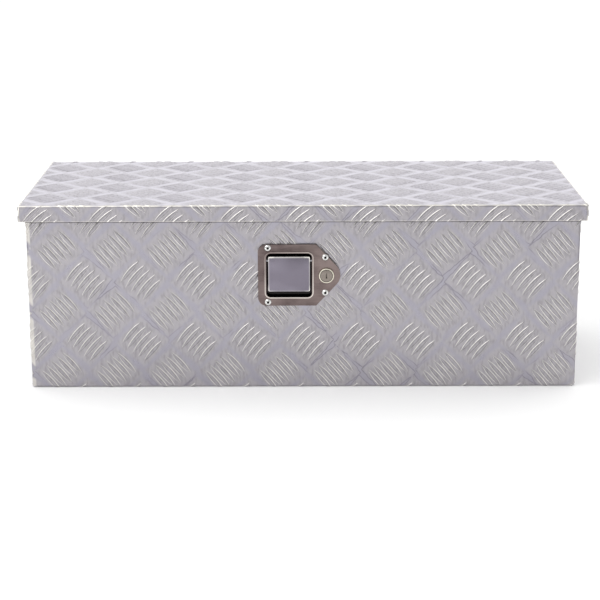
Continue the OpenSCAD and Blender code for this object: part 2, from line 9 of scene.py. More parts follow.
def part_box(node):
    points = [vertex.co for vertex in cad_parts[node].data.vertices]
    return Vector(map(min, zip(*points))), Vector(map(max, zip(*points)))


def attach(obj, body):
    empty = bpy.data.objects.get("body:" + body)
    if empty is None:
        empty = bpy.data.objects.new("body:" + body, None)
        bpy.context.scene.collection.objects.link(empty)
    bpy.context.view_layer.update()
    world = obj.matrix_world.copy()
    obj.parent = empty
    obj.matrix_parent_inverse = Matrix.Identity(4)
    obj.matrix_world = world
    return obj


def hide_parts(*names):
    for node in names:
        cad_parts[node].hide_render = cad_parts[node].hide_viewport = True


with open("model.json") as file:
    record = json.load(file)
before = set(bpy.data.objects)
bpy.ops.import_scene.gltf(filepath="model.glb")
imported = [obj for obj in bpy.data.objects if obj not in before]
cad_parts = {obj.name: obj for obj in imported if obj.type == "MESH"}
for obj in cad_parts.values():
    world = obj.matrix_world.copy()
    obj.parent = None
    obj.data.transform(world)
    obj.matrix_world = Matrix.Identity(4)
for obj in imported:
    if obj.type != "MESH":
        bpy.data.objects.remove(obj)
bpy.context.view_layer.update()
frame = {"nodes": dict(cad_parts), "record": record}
nodes = frame["nodes"]
mm = 0.001


# camera

view = {
    "place": (-0.00444, -2.36872, 0.71325),
    "pitch": 75.064,           # degrees
    "roll": -0.145,
    "lens": 101.70,            # mm, on a frame this wide
    "frameWidth": 36,
    "farEnd": 50,
}


def makeCamera():
    data = bpy.data.cameras.new("camera")
    data.lens = view["lens"]
    data.sensor_width = view["frameWidth"]
    data.clip_end = view["farEnd"]
    camera = bpy.data.objects.new("camera", data)
    bpy.context.scene.collection.objects.link(camera)
    turn = Matrix.Rotation(math.radians(view["pitch"]), 4, "X")
    roll = Matrix.Rotation(math.radians(view["roll"]), 4, "Z")
    camera.matrix_world = Matrix.Translation(view["place"]) @ turn @ roll
    bpy.context.scene.camera = camera


makeCamera()
print("camera placed")


# shader helpers: a wrapped socket adds its Math nodes when it is used in an expression

class Value:
    def __init__(self, tree, socket):
        self.tree = tree
        self.socket = socket

    def math(self, operation, *others, clamp=False):
        step = self.tree.nodes.new("ShaderNodeMath")
        step.operation = operation
        step.use_clamp = clamp
        for slot, item in zip(step.inputs, (self,) + others):
            if isinstance(item, Value):
                self.tree.links.new(item.socket, slot)
            else:
                slot.default_value = item
        return Value(self.tree, step.outputs[0])

    def flipped(self, operation, other):
        step = self.tree.nodes.new("ShaderNodeMath")
        step.operation = operation
        step.inputs[0].default_value = other
        self.tree.links.new(self.socket, step.inputs[1])
        return Value(self.tree, step.outputs[0])

    def __add__(self, other):
        return self.math("ADD", other)

    def __radd__(self, other):
        return self.math("ADD", other)

    def __sub__(self, other):
        return self.math("SUBTRACT", other)

    def __rsub__(self, other):
        return self.flipped("SUBTRACT", other)

    def __mul__(self, other):
        return self.math("MULTIPLY", other)

    def __rmul__(self, other):
        return self.math("MULTIPLY", other)

    def __truediv__(self, other):
        return self.math("DIVIDE", other)

    def __abs__(self):
        return self.math("ABSOLUTE")

    def clamped(self):
        return self.math("ADD", 0.0, clamp=True)

    def ramp(self, low, high):
        return self.math("SUBTRACT", low).math("DIVIDE", high - low, clamp=True)

    def band(self, rising, falling):
        return self.ramp(*rising) * (1 - self.ramp(*falling))

    def line(self, centre, halfWidth):
        return 1 - (abs(self - centre) / halfWidth).clamped()


class NodeSet:
    def __init__(self, tree):
        self.tree = tree

    def plug(self, slot, item):
        if isinstance(item, Value):
            self.tree.links.new(item.socket, slot)
        elif hasattr(item, "__len__") and len(item) == 3 and slot.type == "RGBA":
            slot.default_value = (*item, 1)
        else:
            slot.default_value = item

    def node(self, kind, settings=None, inputs=None, output=0):
        made = self.tree.nodes.new("ShaderNode" + kind)
        for name, setting in (settings or {}).items():
            setattr(made, name, setting)
        for name, item in (inputs or {}).items():
            self.plug(made.inputs[name], item)
        return Value(self.tree, made.outputs[output])

    def axes(self, vector):
        return [self.node("SeparateXYZ", {}, {"Vector": vector}, output=i) for i in range(3)]


class Finish(NodeSet):
    def __init__(self, name):
        self.material = bpy.data.materials.new(name)
        self.material.use_nodes = True
        super().__init__(self.material.node_tree)
        self.tree.nodes.clear()
        self.surface = self.tree.nodes.new("ShaderNodeBsdfPrincipled")
        output = self.tree.nodes.new("ShaderNodeOutputMaterial")
        self.tree.links.new(self.surface.outputs[0], output.inputs[0])

    def place(self, scale=(1, 1, 1), turn=(0, 0, 0)):
        coords = self.node("TexCoord", output="Object")
        return self.node("Mapping", {}, {"Vector": coords, "Scale": scale, "Rotation": turn})

    def noise(self, scale, detail=3.0, stretch=(1, 1, 1), turn=(0, 0, 0), rough=0.5):
        where = self.place(stretch, turn)
        return self.node("TexNoise", {}, {"Vector": where, "Scale": scale, "Detail": detail,
                                          "Roughness": rough})

    def tint(self, factor, low, high):
        return self.node("Mix", {"data_type": "RGBA"}, {0: factor, 6: low, 7: high}, output=2)

    def bump(self, height, strength, distance, normal=None):
        inputs = {"Height": height, "Strength": strength, "Distance": distance}
        if normal is not None:
            inputs["Normal"] = normal
        return self.node("Bump", {}, inputs)

    def finish(self, **sockets):
        names = {"color": "Base Color", "metal": "Metallic", "rough": "Roughness", "normal": "Normal",
                 "specular": "Specular IOR Level", "glow": "Emission Color",
                 "glowStrength": "Emission Strength"}
        for name, item in sockets.items():
            self.plug(self.surface.inputs[names[name]], item)
        return self.material


# sizes of the tread sheets, which the finishes and the raised bars share
lidLow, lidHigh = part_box("lid_shell")
wrapLow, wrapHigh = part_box("body_wrap")
rearLow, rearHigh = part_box("rear_panel")
floorLow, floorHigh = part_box("floor_pan")
wallX, wallY = wrapHigh.x, -wrapLow.y

tread = {
    "rise": 0.9 * mm,          # bars stand this far above the sheet
    "barLength": 43 * mm,
    "barWidth": 7.4 * mm,
    "barPitch": 9.66 * mm,
    "barSteps": 8,             # faces along a bar
    "barRows": 4,              # and across it
    "crestPower": 6,           # higher is flatter on top
    "endPower": 8,
    "taperPower": 2.1,         # lower draws the ends out longer
    "crestSpread": 1.36,
    "rootShare": 0.35,         # how far a bar goes down into the sheet, as a share of its rise
    "outerShorten": 0.93,      # the first and last bar of a cluster
    "foldRadius": 4 * mm,      # outside of the fold, over the bars
    "foldSteps": 3,            # flat steps round a fold
    "secondFamily": 10,        # added along the bars that lean the other way, to tell them apart
}
noFold = 10                    # beyond any sheet, for an edge that stays flat
skinRadius = tread["foldRadius"] - tread["rise"]
arcLength = skinRadius * math.pi / 2
lidFlatX, lidFlatY = lidHigh.x - tread["foldRadius"], lidHigh.y - tread["foldRadius"]
bodyFlatX, bodyFlatY = wallX - tread["foldRadius"], wallY - tread["foldRadius"]
cornerRun = bodyFlatX + arcLength + bodyFlatY

lidPattern = {
    "pitch": (87.3 * mm, 74.5 * mm),       # between clusters of one family, across and along the depth
    "shift": (43.5 * mm, 36 * mm),         # from one family to the other
    "lean": math.radians(43),
    "origin": (2.2 * mm, -39 * mm),
    "field": (24.5 * mm, 25.5 * mm),      # half size of the embossed field round a cluster
    "folds": ((0, lidFlatX), (1, lidFlatY)),
    "foldStrip": (0.10 * arcLength, 0.80 * arcLength),
    "foldHighlight": (0.35, 0.35),              # everywhere, and more where bars cross
    "highlitRight": True,
    "hem": lidFlatY + arcLength + lidHigh.z - lidLow.z - tread["foldRadius"],    # where the lip's cut edge gets a painted highlight
}
bodyPattern = {
    "pitch": (74.3 * mm, 85.5 * mm),
    "shift": (37.3 * mm, 42.7 * mm),
    "lean": math.radians(49),
    "origin": (-293 * mm, 65 * mm),
    "field": (25 * mm, 25 * mm),
    "folds": ((0, bodyFlatX),),
    "foldStrip": (-3.0 * mm, 0.9 * arcLength),
    "foldHighlight": (-0.12, 0.6),
    "highlitRight": False,                   # painted highlight only on the left corner
    "shaded": lidLow.z - 2.6 * mm,        # painted shade line under the lip of the lid
    "returnWidth": 25 * mm,               # the ends' sheets turned in at the back
    "footWidth": 14 * mm,                 # flanges turned in underneath
    "rearFootWidth": 10 * mm,
    "recess": (64.7 * mm, 63.8 * mm),     # hole for the latch
    "backShift": 11 * mm,
    "underOrigin": 20 * mm,
}


# finishes

sheetLook = {
    "channel": (0.350, 0.338, 0.390),     # between the clusters
    "field": (0.405, 0.386, 0.408),       # in the clusters
    # the lid's flat top, painted lighter than the lips as painted light
    "litTopChannel": (0.470, 0.452, 0.520),
    "litTopField": (0.425, 0.408, 0.452),
    "deep": (0.160, 0.145, 0.165),        # dark thin lines round the fields; dimmed, also the painted shade under the lid's lip
    "bright": (0.98, 0.96, 0.90),         # painted highlights along the bars' edges, partly wear
    # painted highlight along the folds and the lip's cut edge
    "fold": (0.88, 0.85, 0.77),
    "rough": 0.30,
    "fieldWander": 8 * mm,                # how far the fields' edges stray
    "fieldEdge": (-2.0 * mm, 2.4 * mm),
    "ringPlace": 1.4 * mm,               # a thin line just outside the fields
    "ringWidth": 0.8 * mm,
    "wearAndHighlightFrom": (0.54, 0.62),           # shares of a bar's half width, from its crest
    "wearAndHighlightTo": (0.84, 0.93),
    "shadowFrom": (0.15, 0.40),
    "shadowTo": (0.46, 0.56),
    "upperEdge": 1.0,                     # how bright the painted highlight on each edge is, upper edges lit most
    "lowerEdge": 0.30,
    "lowerEdgeSecond": 0.60,              # more on the family that leans the other way
    "foldBlend": 1.2 * mm,
    "hemStart": 1.3 * mm,
    "hemFull": 0.6 * mm,
    "hemShine": 0.5,
    "topEdgeBlend": 0.5 * mm,
    "cloud": (7.0, 4.0),                  # noises, as scale and detail
    "mottle": (34.0, 3.0),
    "streak": (300.0, 3.0),
    "streakStretch": (1, 1, 0.35),
    "speck": (1500.0, 2.0),
    "wander": (55.0, 3.0),
    "ringPatches": (16.0, 2.0),
    "rubbedPatches": (90.0, 2.0),
    "ringPatchesAbove": (0.52, 0.62),
    "wearAndHighlightShare": (0.85, 0.5),           # everywhere, and more in patches
    "wearAndHighlightOnTop": 0.2,                   # what is left of it on the lid's flat top
    "cloudShare": 0.22,                   # how strongly each tone covers the plain sheet
    "streakShare": (0.10, 0.40),          # everywhere, and more in the fields
    "shadowShare": 0.55,
    "patchyRingShare": 0.75,
    "ringOnTop": 0.22,
    "foldMottle": 0.6,
    "underLipShadeShare": 0.7,
    "underLipShadeEdge": (-0.8 * mm, 0.2 * mm),
    "rippleDepth": 2.5 * mm,
    "streakDepth": 0.22 * mm,
}


def scaled(tint, share):
    return tuple(c * share for c in tint)


# Distance from the edge of the nearest cluster's field, below 0 inside it
def fieldDistance(f, x, y, pattern):
    nearest = None
    for family in (0, 1):
        turn = pattern["lean"] * (1 - 2 * family)
        local = []
        for place, pitch, origin, shift in zip((x, y), pattern["pitch"], pattern["origin"], pattern["shift"]):
            cell = (place - (origin + family * shift)) / pitch + 0.5
            local.append((cell.math("FRACT") - 0.5) * pitch)
        along = local[0] * math.cos(turn) + local[1] * math.sin(turn)
        across = local[1] * math.cos(turn) - local[0] * math.sin(turn)
        reach = (abs(along) - pattern["field"][0]).math("MAXIMUM", abs(across) - pattern["field"][1])
        nearest = reach if nearest is None else nearest.math("MINIMUM", reach)
    return nearest


def treadSheetFinish(name, pattern, look):
    f = Finish(name)
    x, y, _ = f.axes(f.node("UVMap", {"uv_map": "blank"}))
    s, t, _ = f.axes(f.node("UVMap", {"uv_map": "bar"}))
    cloud = f.noise(*look["cloud"])
    mottle = f.noise(*look["mottle"])
    streak = f.noise(*look["streak"], look["streakStretch"])
    speck = f.noise(*look["speck"])
    wander = f.noise(*look["wander"], rough=0.6)

    # embossed fields, and dark thin lines in patches along their edges
    gap = fieldDistance(f, x, y, pattern) + (wander - 0.5) * look["fieldWander"]
    field = 1 - gap.ramp(*look["fieldEdge"])
    ring = gap.line(look["ringPlace"], look["ringWidth"])
    patchyRing = ring * f.noise(*look["ringPatches"]).ramp(*look["ringPatchesAbove"])

    # painted highlights along the bars' edges, partly wear in patches, and painted shade on their flanks
    second = s.math("GREATER_THAN", tread["secondFamily"] / 2)
    upper = t.math("GREATER_THAN", 0.0)
    edge = abs(t).band(look["wearAndHighlightFrom"], look["wearAndHighlightTo"])
    shadow = abs(t).band(look["shadowFrom"], look["shadowTo"])
    worn = f.noise(*look["rubbedPatches"]).ramp(0.25, 0.6)
    # the upper edges, which face the light, get the strongest painted highlight; the family that leans the
    # other way is lit on both edges
    lowerStrength = look["lowerEdge"] + second * look["lowerEdgeSecond"]
    strength = upper * look["upperEdge"] + (1 - upper) * lowerStrength
    least, more = look["wearAndHighlightShare"]
    wearAndHighlight = (edge * strength * (least + worn * more)).clamped()

    # painted highlights along the folds
    fold = None
    blend = look["foldBlend"]
    low, high = pattern["foldStrip"]
    for axis, start in pattern["folds"]:
        place = (x, y)[axis]
        past = (abs(place) if pattern["highlitRight"] else place * -1) - start
        strip = past.band((low, low + blend), (high - blend, high))
        fold = strip if fold is None else fold.math("MAXIMUM", strip)

    # painted light: the lid's flat top is coloured lighter than its lips, most in its channels
    channelTint, fieldTint, onTop = look["channel"], look["field"], 0.0
    if "hem" in pattern:
        (_, endX), (_, endY) = pattern["folds"]
        past = (abs(x) - endX).math("MAXIMUM", abs(y) - endY)
        hem = pattern["hem"] - endY
        hemStrip = past.ramp(hem - look["hemStart"], hem - look["hemFull"])
        fold = fold.math("MAXIMUM", hemStrip * look["hemShine"])
        onTop = 1 - past.ramp(-look["topEdgeBlend"], look["topEdgeBlend"])
        channelTint = f.tint(onTop, channelTint, look["litTopChannel"])
        fieldTint = f.tint(onTop, fieldTint, look["litTopField"])
        wearAndHighlight = wearAndHighlight * (1 - onTop * (1 - look["wearAndHighlightOnTop"]))

    # colour, from the plain sheet to the painted highlights
    shade = (cloud.ramp(0.3, 0.7) * 0.5 + mottle.ramp(0.3, 0.7) * 0.5).clamped()
    least, more = look["streakShare"]
    # streaks in the grain, and painted shade on the bars' flanks
    darker = (streak.ramp(0.45, 0.7) * (least + field * more) + shadow * look["shadowShare"]).clamped()
    deepened = (patchyRing * look["patchyRingShare"] + ring * onTop * look["ringOnTop"]).clamped()
    everywhere, onBars = pattern["foldHighlight"]
    foldShine = (fold * (everywhere + field * onBars + (mottle - 0.5) * look["foldMottle"])).clamped()
    plain = f.tint(field, channelTint, fieldTint)
    plain = f.tint(shade * look["cloudShare"], plain, scaled(look["field"], 1.4))
    plain = f.tint(darker, plain, scaled(look["field"], 0.58))
    plain = f.tint(deepened, plain, look["deep"])
    plain = f.tint(wearAndHighlight, plain, look["bright"])
    plain = f.tint(foldShine, plain, look["fold"])
    # painted shade in a thin line just under the lid's lip
    if "shaded" in pattern:
        underLipShade = y.ramp(*(pattern["shaded"] + reach for reach in look["underLipShadeEdge"]))
        plain = f.tint(underLipShade * look["underLipShadeShare"], plain, scaled(look["deep"], 0.4))

    ripple = f.bump(cloud + mottle * 0.4, 0.6, look["rippleDepth"])
    grain = streak * (0.3 + field * 0.7) + speck * 0.3 - patchyRing * 0.6
    fine = f.bump(grain, 0.35, look["streakDepth"], ripple)
    rough = look["rough"] + field * 0.07 - wearAndHighlight * 0.10 + (mottle - 0.5) * 0.12 + (speck - 0.5) * 0.12
    return f.finish(color=plain, metal=1 - wearAndHighlight * 0.75, rough=rough.clamped(), normal=fine)


def brushedFinish(name, light, dark, rough, stretch=(1, 1, 1), scale=500.0):
    f = Finish(name)
    lines = f.noise(scale, 4.0, stretch)
    cloud = f.noise(30.0, 3.0)
    shade = (lines.ramp(0.3, 0.7) * 0.6 + cloud.ramp(0.3, 0.7) * 0.4).clamped()
    return f.finish(color=f.tint(shade, dark, light), metal=1.0,
                    rough=(rough + (lines - 0.5) * 0.2 + (cloud - 0.5) * 0.1).clamped(),
                    normal=f.bump(lines, 0.2, 0.08 * mm))


def mouldedFinish(name, light, dark, rough, scale=1500.0):
    f = Finish(name)
    grain = f.noise(scale, 3.0)
    cloud = f.noise(40.0, 3.0)
    shade = (grain * 0.5 + cloud * 0.5).ramp(0.3, 0.7)
    return f.finish(color=f.tint(shade, dark, light), metal=0.0,
                    rough=(rough + (cloud - 0.5) * 0.15).clamped(),
                    normal=f.bump(grain, 0.3, 0.12 * mm))


# latch: flange, recess, paddle, rivets and lock share the places that the latch parts give
dishLow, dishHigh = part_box("latch_dish")
paddleLow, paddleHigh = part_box("paddle")
lockLow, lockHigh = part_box("lock_body")
pinLow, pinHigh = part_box("paddle_pin")
recessX, recessZ = (pinLow.x + pinHigh.x) / 2, (dishLow.z + dishHigh.z) / 2
lockX, lockZ = (lockLow.x + lockHigh.x) / 2, (lockLow.z + lockHigh.z) / 2

latchLook = {
    "flangeLight": (0.240, 0.190, 0.180),
    "flangeDark": (0.095, 0.070, 0.070),
    # painted highlight on the rim's crest
    "rim": (0.90, 0.85, 0.78),
    # painted shade in the recess
    "recess": (0.030, 0.027, 0.027),
    "paddle": (0.262, 0.242, 0.292),
    "paddleDark": (0.185, 0.168, 0.205),
    "paddleEdge": (0.92, 0.89, 0.84),
    "rimSize": (33.3 * mm, 32.4 * mm),    # half width and height of the rolled rim
    "rimCorner": 8.4 * mm,
    "recessSize": (30.7 * mm, 30.2 * mm),
    "recessCorner": 6 * mm,
    "rivetSpots": ((-28.5, 37.4), (-28.5, -37.4), (48.6, 24.4), (48.6, -24.4)),    # mm from the recess
    "crestPlace": -1.1 * mm,              # the painted highlight along the rim's crest, from its outer edge
    "crestWidth": 0.9 * mm,
    "recessDepth": (1.5 * mm, 3.5 * mm),  # how far behind the flange the painted shade begins
    "topRim": (-2.2 * mm, -1.4 * mm),     # painted highlights along the paddle's edges, from its outline
    "sideRim": (-1.6 * mm, -1.0 * mm),
    "bottomRim": (-1.4 * mm, -0.6 * mm),
    "cornerReach": (-9 * mm, -1 * mm),
    "rimShares": (0.8, 0.35, 0.25),       # how bright the painted highlights on the top, side and bottom edges are
    "creaseTurn": math.radians(24),
    "creaseDepth": 4 * mm,
    "lighterRight": 4,                    # per metre, across the flange: painted light, lighter to the right
    "rimLighterDown": 10,                 # per metre, along the rim's crest: its painted highlight brightens downwards
    "rimLighterRight": 5,
}


# Distance from the outline of a rounded rectangle round the recess, below 0 inside it
def recessDistance(x, z, halfSize, corner):
    pastX = (abs(x - recessX) - (halfSize[0] - corner)).math("MAXIMUM", 0.0)
    pastZ = (abs(z - recessZ) - (halfSize[1] - corner)).math("MAXIMUM", 0.0)
    return (pastX * pastX + pastZ * pastZ).math("SQRT") - corner


def flangeFinish(name, look):
    f = Finish(name)
    x, y, z = f.axes(f.place())
    lines = f.noise(420.0, 3.0, (0.10, 1, 1))
    cloud = f.noise(26.0, 3.0)
    # painted light: the flange is coloured lighter towards the right
    shade = (cloud.ramp(0.35, 0.65) * 0.75 + lines.ramp(0.3, 0.7) * 0.25
             + (x - recessX) * look["lighterRight"]).clamped()
    plain = f.tint(shade, look["flangeDark"], look["flangeLight"])
    fromRim = recessDistance(x, z, look["rimSize"], look["rimCorner"])
    fromRecess = recessDistance(x, z, look["recessSize"], look["recessCorner"])
    onRim = 1 - fromRim.ramp(-0.3 * mm, 0.3 * mm)
    crest = fromRim.line(look["crestPlace"], look["crestWidth"])
    inside = 1 - fromRecess.ramp(-0.2 * mm, 0.3 * mm)
    deep = y.ramp(*(dishLow.y + depth for depth in look["recessDepth"]))
    # painted highlight on the rolled rim: a lighter band, brightest along its crest and towards the bottom
    # right
    gloss = (0.55 + (recessZ - z) * look["rimLighterDown"] + (x - recessX) * look["rimLighterRight"]
             + (cloud - 0.5) * 0.8).clamped()
    plain = f.tint(onRim * 0.5, plain, look["flangeLight"])
    plain = f.tint(crest * gloss, plain, look["rim"])
    # painted shade inside the recess and behind the rim
    plain = f.tint((inside + deep * onRim).clamped(), plain, look["recess"])
    rough = 0.30 + (lines - 0.5) * 0.2 + (cloud - 0.5) * 0.2 - onRim * 0.08
    return f.finish(color=plain, metal=1.0, rough=rough.clamped(), normal=f.bump(lines, 0.2, 0.06 * mm))


def paddleFinish(name, look):
    f = Finish(name)
    x, y, z = f.axes(f.place())
    halfX = (paddleHigh.x - paddleLow.x) / 2
    halfZ = (paddleHigh.z - paddleLow.z) / 2
    midX, midZ = (paddleHigh.x + paddleLow.x) / 2, (paddleHigh.z + paddleLow.z) / 2
    crease = f.noise(21.0, 1.5, (0.8, 1, 1.3), (0, look["creaseTurn"], 0))
    lines = f.noise(700.0, 3.0, (1, 1, 0.06))
    overX = abs(x - midX) - halfX
    overZ = z - midZ - halfZ
    underZ = midZ - halfZ - z
    # painted highlights along the paddle's edges, brightest on top and at the corners
    corner = overX.ramp(*look["cornerReach"]) * (abs(z - midZ) - halfZ).ramp(*look["cornerReach"])
    top, sides, bottom = look["rimShares"]
    rim = (overZ.ramp(*look["topRim"]) * top + overX.ramp(*look["sideRim"]) * sides
           + underZ.ramp(*look["bottomRim"]) * bottom)
    rim = (rim * (0.7 + corner * 1.6)).clamped()
    shade = (crease.ramp(0.35, 0.65) * 0.8 + lines * 0.2).clamped()
    plain = f.tint(shade, look["paddleDark"], look["paddle"])
    plain = f.tint(rim, plain, look["paddleEdge"])
    soft = f.bump(crease, 0.45, look["creaseDepth"])
    return f.finish(color=plain, metal=1.0, rough=(0.13 + lines * 0.08 + rim * 0.05).clamped(),
                    normal=f.bump(lines, 0.12, 0.05 * mm, soft))


# Rings round a centre on the front: each entry is an outer radius with its colour
def ringedFinish(name, centres, rings, rest, rough, scale=900.0):
    f = Finish(name)
    x, _, z = f.axes(f.place())
    radius = None
    for cx, cz in centres:
        dx, dz = x - cx, z - cz
        away = (dx * dx + dz * dz).math("SQRT")
        radius = away if radius is None else radius.math("MINIMUM", away)
    grain = f.noise(scale, 3.0)
    cloud = f.noise(160.0, 3.0)
    plain = f.tint(grain, scaled(rest, 0.82), rest)
    blend = 0.12 * mm
    for outer, tint in rings:      # the widest ring comes first
        tone = f.tint(grain * 0.5 + cloud * 0.5, scaled(tint, 0.75), tint)
        plain = f.tint(1 - radius.ramp(outer - blend, outer + blend), plain, tone)
    return f.finish(color=plain, metal=1.0, rough=(rough + (cloud - 0.5) * 0.15).clamped(),
                    normal=f.bump(grain, 0.2, 0.06 * mm))


lockRings = [(10.4 * mm, (0.80, 0.75, 0.63)), (8.7 * mm, (0.05, 0.045, 0.04)),
             (8.0 * mm, (0.30, 0.262, 0.232))]
# the rivets' centres are painted black, as painted shade in their holes
rivetRings = [(4.1 * mm, (0.93, 0.93, 0.91)), (1.7 * mm, (0.004, 0.004, 0.004))]
rivetSpots = [(recessX + dx * mm, recessZ + dz * mm) for dx, dz in latchLook["rivetSpots"]]
finishes = {
    "tread_sheet": treadSheetFinish("bodySheet", bodyPattern, sheetLook),
    "hinge_metal": brushedFinish("hingeMill", (0.60, 0.60, 0.62), (0.40, 0.40, 0.42), 0.36, (0.05, 1, 1)),
    "pin_steel": brushedFinish("drawnWire", (0.62, 0.62, 0.64), (0.42, 0.42, 0.44), 0.28, (0.05, 1, 1)),
    "rubber": mouldedFinish("sealRubber", (0.030, 0.030, 0.031), (0.014, 0.014, 0.015), 0.72),
    "plated_steel": brushedFinish("zincPlate", (0.60, 0.61, 0.63), (0.40, 0.41, 0.45), 0.33),
    "latch_stainless": flangeFinish("pressedStainless", latchLook),
    "paddle_stainless": paddleFinish("polishedStainless", latchLook),
    "rivet_metal": brushedFinish("rivetBright", (0.84, 0.84, 0.84), (0.62, 0.62, 0.63), 0.22),
    "spring_steel": brushedFinish("springWire", (0.30, 0.30, 0.32), (0.16, 0.16, 0.17), 0.35),
    "lock_metal": ringedFinish("lockPlate", [(lockX, lockZ)], lockRings, (0.5, 0.48, 0.46), 0.28),
    "strut_paint": mouldedFinish("strutEnamel", (0.022, 0.022, 0.024), (0.012, 0.012, 0.013), 0.25, 400.0),
    "strut_chrome": brushedFinish("groundRod", (0.75, 0.75, 0.77), (0.60, 0.60, 0.62), 0.10),
    "socket_plastic": mouldedFinish("socketNylon", (0.045, 0.045, 0.047), (0.022, 0.022, 0.024), 0.5),
    "handle_steel": brushedFinish("handleZinc", (0.62, 0.63, 0.65), (0.42, 0.43, 0.46), 0.30),
}
lidSheet = treadSheetFinish("lidSheet", lidPattern, sheetLook)
latchRivetFinish = ringedFinish("latchRivet", rivetSpots, rivetRings, (0.30, 0.28, 0.27), 0.25)
for entry in frame["record"]["subparts"]:
    mesh = nodes[entry["node"]].data
    mesh.materials.clear()
    given = latchRivetFinish if entry["node"] == "latch_rivets" else finishes[entry["material_slot"]]
    mesh.materials.append(given)
print("finishes given to the carried-over parts")


# tread sheets: the plain skin lies under the raised bars, which reach the outer size
build = {
    "weld": 0.002 * mm,        # points of a carried-over part that are merged
    "barWeld": 0.001 * mm,
    "onLine": 0.0001 * mm,
    "flatWithin": math.radians(0.5),
    "facing": 0.7,             # a face points up or down when its normal does by this much
    "skinCrease": 35,          # degrees, edges sharper than this stay sharp
    "barCrease": 50,
}


def linkPiece(name, bm, body, finish):
    mesh = bpy.data.meshes.new(name)
    bm.to_mesh(mesh)
    bm.free()
    piece = bpy.data.objects.new(name, mesh)
    bpy.context.scene.collection.objects.link(piece)
    mesh.materials.append(finishes[finish] if isinstance(finish, str) else finish)
    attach(piece, body)
    return piece


def copyOfNode(node):
    bm = bmesh.new()
    bm.from_mesh(nodes[node].data)
    bmesh.ops.remove_doubles(bm, verts=bm.verts, dist=build["weld"])
    return bm


def smoothUnder(mesh, degrees):
    mesh.shade_smooth()
    mesh.set_sharp_from_angle(angle=math.radians(degrees))


# Points of the outer surface of a rounded box move in by the height of the bars
def thinned(bm, low, high, radius, rise):
    nearSurface = radius - 0.2 * mm
    for v in bm.verts:
        core = Vector([min(max(c, l + radius), h - radius) for c, l, h in zip(v.co, low, high)])
        out = v.co - core
        if out.length > nearSurface:
            v.co = core + out * ((out.length - rise) / out.length)


def sheetSkin(node, body, low, high):
    bm = copyOfNode(node)
    thinned(bm, low, high, tread["foldRadius"], tread["rise"])
    piece = linkPiece(node + "_skin", bm, body, lidSheet if body == "lid" else "tread_sheet")
    blankMap(piece.data, blankRules[node])
    smoothUnder(piece.data, build["skinCrease"])
    evened = piece.modifiers.new("evened", "WEIGHTED_NORMAL")
    evened.keep_sharp = True
    evened.weight = 100
    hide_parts(node)


# Where a point of the folded sheet lay on its flat blank, from its place and its face's normal
def facesUpOrDown(n):
    return abs(n.z) > build["facing"]


def lidBlank(c, n):
    down = lidHigh.z - tread["foldRadius"] - c.z
    if facesUpOrDown(n):
        return c.x, c.y
    if abs(n.y) > abs(n.x):
        return c.x, math.copysign(lidFlatY + arcLength + down, c.y)
    return math.copysign(lidFlatX + arcLength + down, c.x), c.y


def wrapBlank(c, n):
    side = math.copysign(1, c.x)
    if facesUpOrDown(n):
        return underBlank(c, n)
    if abs(n.y) <= abs(n.x):
        return side * (cornerRun + c.y), c.z
    if c.y < 0:
        return c.x, c.z
    return side * (cornerRun + bodyFlatY + arcLength + bodyFlatX - abs(c.x)), c.z


def rearBlank(c, n):
    if facesUpOrDown(n):
        return underBlank(c, n)
    return -c.x - bodyPattern["backShift"], c.z


def underBlank(c, n):
    return c.x, -c.y - bodyPattern["underOrigin"] + bodyPattern["origin"][1]


blankRules = {
    "lid_shell": lidBlank,
    "body_wrap": wrapBlank,
    "rear_panel": rearBlank,
    "floor_pan": underBlank,
}


def blankMap(mesh, rule):
    blank = mesh.uv_layers.new(name="blank", do_init=False)
    bar = mesh.uv_layers.new(name="bar", do_init=False)
    for face in mesh.polygons:
        for loop in face.loop_indices:
            blank.data[loop].uv = rule(mesh.vertices[mesh.loops[loop].vertex_index].co, face.normal)
            bar.data[loop].uv = (0, 0)


lidOpenLow = lidLow - Vector((0, 0, 100 * mm))      # the lid is open below, so no skin moves up there
bodyHigh = Vector((wrapHigh.x, rearHigh.y, wrapHigh.z))
sheetSkin("lid_shell", "lid", lidOpenLow, lidHigh)
for node in ("body_wrap", "rear_panel", "floor_pan"):
    sheetSkin(node, "box", wrapLow, bodyHigh)
print("sheet skins made")


# Each item once, in the order it came, so that every run builds the same mesh
def once(items):
    return list(dict.fromkeys(items))


# A bar is a lens: a crest above the sheet and a shallow root below it
def addBar(bm, x, y, angle, length):
    bar = bm.loops.layers.uv["bar"]
    beyond = tread["secondFamily"] if angle < 0 else 0
    turn = Matrix.Translation((x, y, 0)) @ Matrix.Rotation(angle, 4, "Z")
    for side, rise in ((1, tread["rise"]), (-1, -tread["rise"] * tread["rootShare"])):
        made = bmesh.ops.create_grid(bm, x_segments=tread["barSteps"], y_segments=tread["barRows"],
                                     size=1)["verts"]
        for loop in once(loop for v in made for loop in v.link_loops):
            loop[bar].uv = (loop.vert.co.x + beyond, loop.vert.co.y * side)
        for v in made:
            s, t = v.co.x, v.co.y
            across = math.copysign(min(abs(t) * tread["crestSpread"], 1), t) if abs(t) < 0.9 else t
            crest = (1 - abs(across) ** tread["crestPower"]) * (1 - abs(s) ** tread["endPower"])
            half = tread["barWidth"] / 2 * (1 - abs(s) ** tread["taperPower"])
            v.co = (s * length / 2, across * half, rise * crest)
        if side < 0:
            bmesh.ops.reverse_faces(bm, faces=once(f for v in made for f in v.link_faces))
        bmesh.ops.transform(bm, matrix=turn, verts=made)


